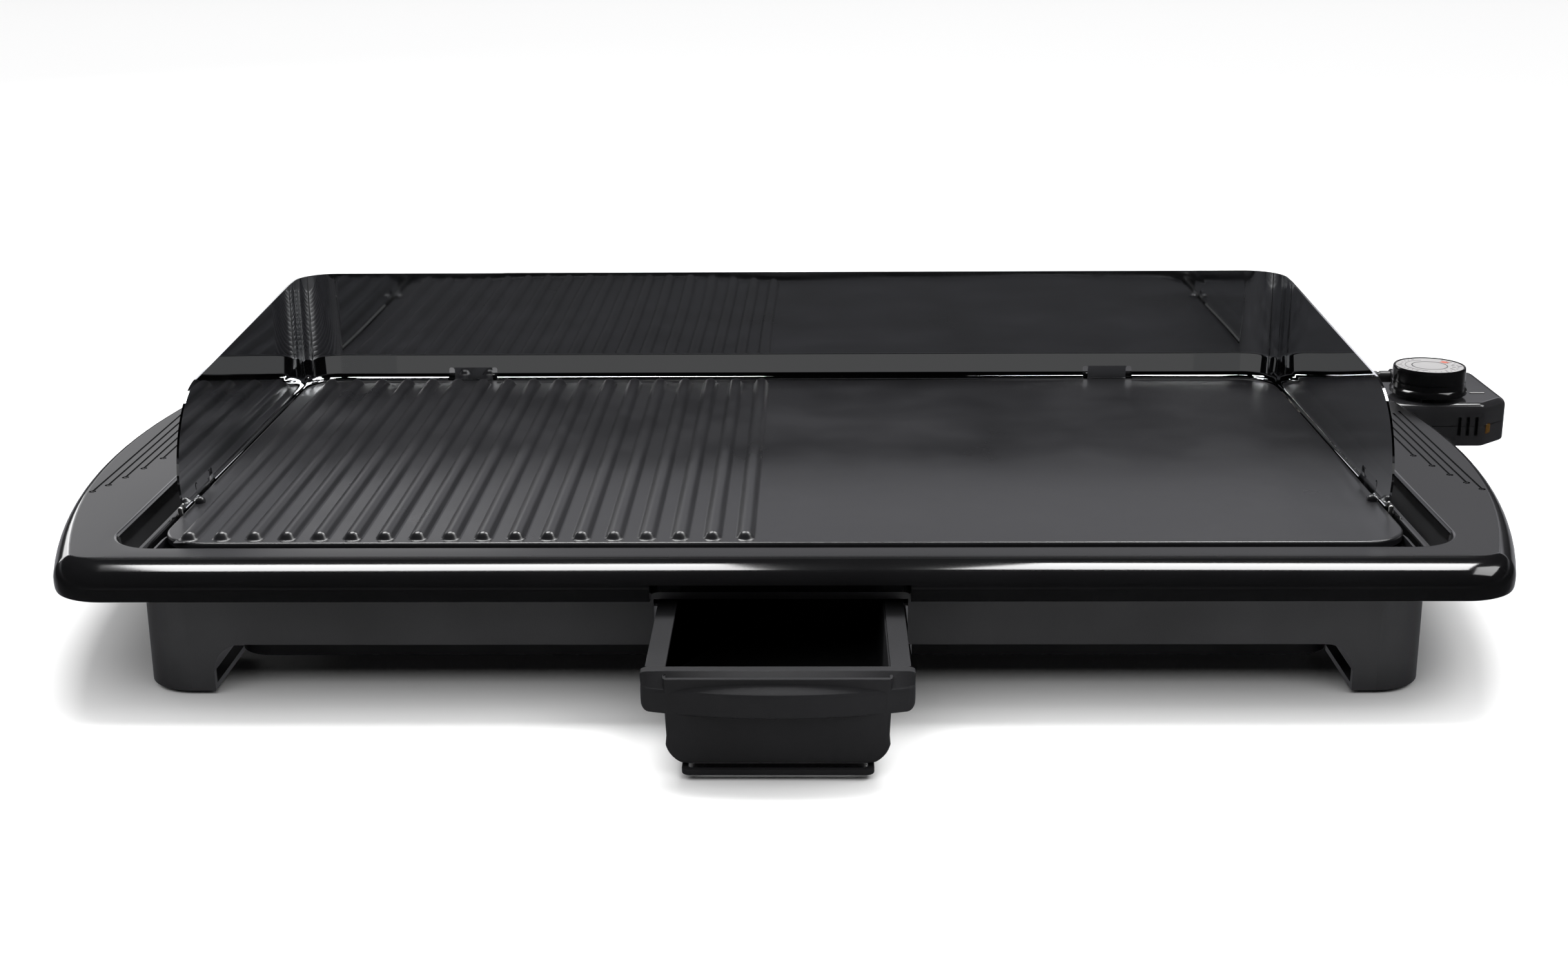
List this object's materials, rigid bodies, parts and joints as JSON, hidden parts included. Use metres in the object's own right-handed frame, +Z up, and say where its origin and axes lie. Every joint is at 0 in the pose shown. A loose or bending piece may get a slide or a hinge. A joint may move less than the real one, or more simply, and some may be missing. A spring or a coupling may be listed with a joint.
{
  "type": "electric griddle",
  "caption": "Table-top electric griddle: part-ribbed plate in a handled frame, lift-off splash guard, pull-out drip drawer and plug-in dial control with cord.",
  "frame": {"origin": "on the table, under the middle of the box of the griddle with its control and the drawer as pictured, cord left out", "axes": "+X to the cook's right, towards the plug-in control; +Y away from the cook, towards the splash guard's back; +Z up"},
  "size_m": [0.711, 0.6148, 0.117],
  "materials": {
    "frame_plastic": "satin black moulded phenolic, glossy on its rolled edge",
    "shell_plastic": "fine matte black",
    "control_plastic": "glossy black",
    "nonstick": "cast aluminium under a satin grey-black non-stick coating",
    "polished_steel": "mirror polished",
    "plated_steel": "plain zinc plated",
    "dark_sheet": "sheet with a dark heat-resistant finish",
    "rubber_black": "matte",
    "element_sheath": "oxidised sheath",
    "ceramic": "steatite, semi-matt",
    "brass": "satin",
    "dial_silver": "brushed silver print",
    "lamp_amber": "amber window",
    "lamp_glass": "clear",
    "resistor_tan": "lacquered",
    "cord_black": "flexible twin cord, satin",
    "plug_black": "moulded vinyl"
  },
  "bodies": {
    "base": {"top_frame": "frame_plastic", "base_shell": "shell_plastic", "heat_pan": "dark_sheet", "foot_pads": "rubber_black", "frame_screws": "plated_steel", "griddle_plate": "nonstick", "plate_standoffs": "plated_steel", "plate_screws": "plated_steel", "heating_element": "element_sheath", "element_clips": "plated_steel", "element_insulators": "ceramic", "element_terminals": "plated_steel", "probe_sleeve": "plated_steel", "terminal_shroud": "plated_steel", "drain_spout": "dark_sheet", "guard_studs": "polished_steel", "drawer_guides": "shell_plastic"},
    "splash_guard": {"splash_guard": "polished_steel"},
    "drawer": {"drip_drawer": "shell_plastic"},
    "control": {"control_upper_housing": "control_plastic", "control_lower_housing": "control_plastic", "control_screws": "plated_steel", "probe_tube": "plated_steel", "sensor_rod": "brass", "terminal_block": "ceramic", "contact_sleeves": "brass", "thermostat_frame": "plated_steel", "lever_pin": "plated_steel", "fixed_contact": "brass", "moving_contact": "brass", "blade_stack": "ceramic", "lamp_bulb": "lamp_glass", "lamp_lens": "lamp_amber", "lamp_resistor": "resistor_tan", "strain_relief": "plug_black", "power_cord": "cord_black", "cord_coil": "cord_black", "cord_tail": "cord_black", "cord_tie": "plug_black", "plug_body": "plug_black", "plug_blades": "brass"},
    "dial": {"dial_knob": "control_plastic", "dial_face": "dial_silver", "dial_shaft": "plated_steel", "knob_clip": "plated_steel", "adjusting_cam": "ceramic"},
    "lever": {"cam_lever": "plated_steel"}
  },
  "joints": [
    {"name": "guard_lift", "type": "slide", "parent": "base", "child": "splash_guard", "axis": [0, 0, 1], "range_m": [0, 0.12]},
    {"name": "drawer_slide", "type": "slide", "parent": "base", "child": "drawer", "axis": [0, -1, 0], "range_m": [-0.07, 0.045]},
    {"name": "control_unplug", "type": "slide", "parent": "base", "child": "control", "axis": [1, 0, 0], "range_m": [0, 0.06]},
    {"name": "dial_turn", "type": "hinge", "parent": "control", "child": "dial", "pos_m": [0.315, 0.1385, 0.06], "axis": [0, 0, -1], "range_deg": [0, 285]},
    {"name": "lever_swing", "type": "hinge", "parent": "control", "child": "lever", "pos_m": [0.331, 0.1463, 0.0465], "axis": [0, 0, -1], "range_deg": [0, 15]}
  ],
  "couplings": [
    {"joint": "lever_swing", "follows": "dial_turn", "ratio": 0.05026}
  ]
}
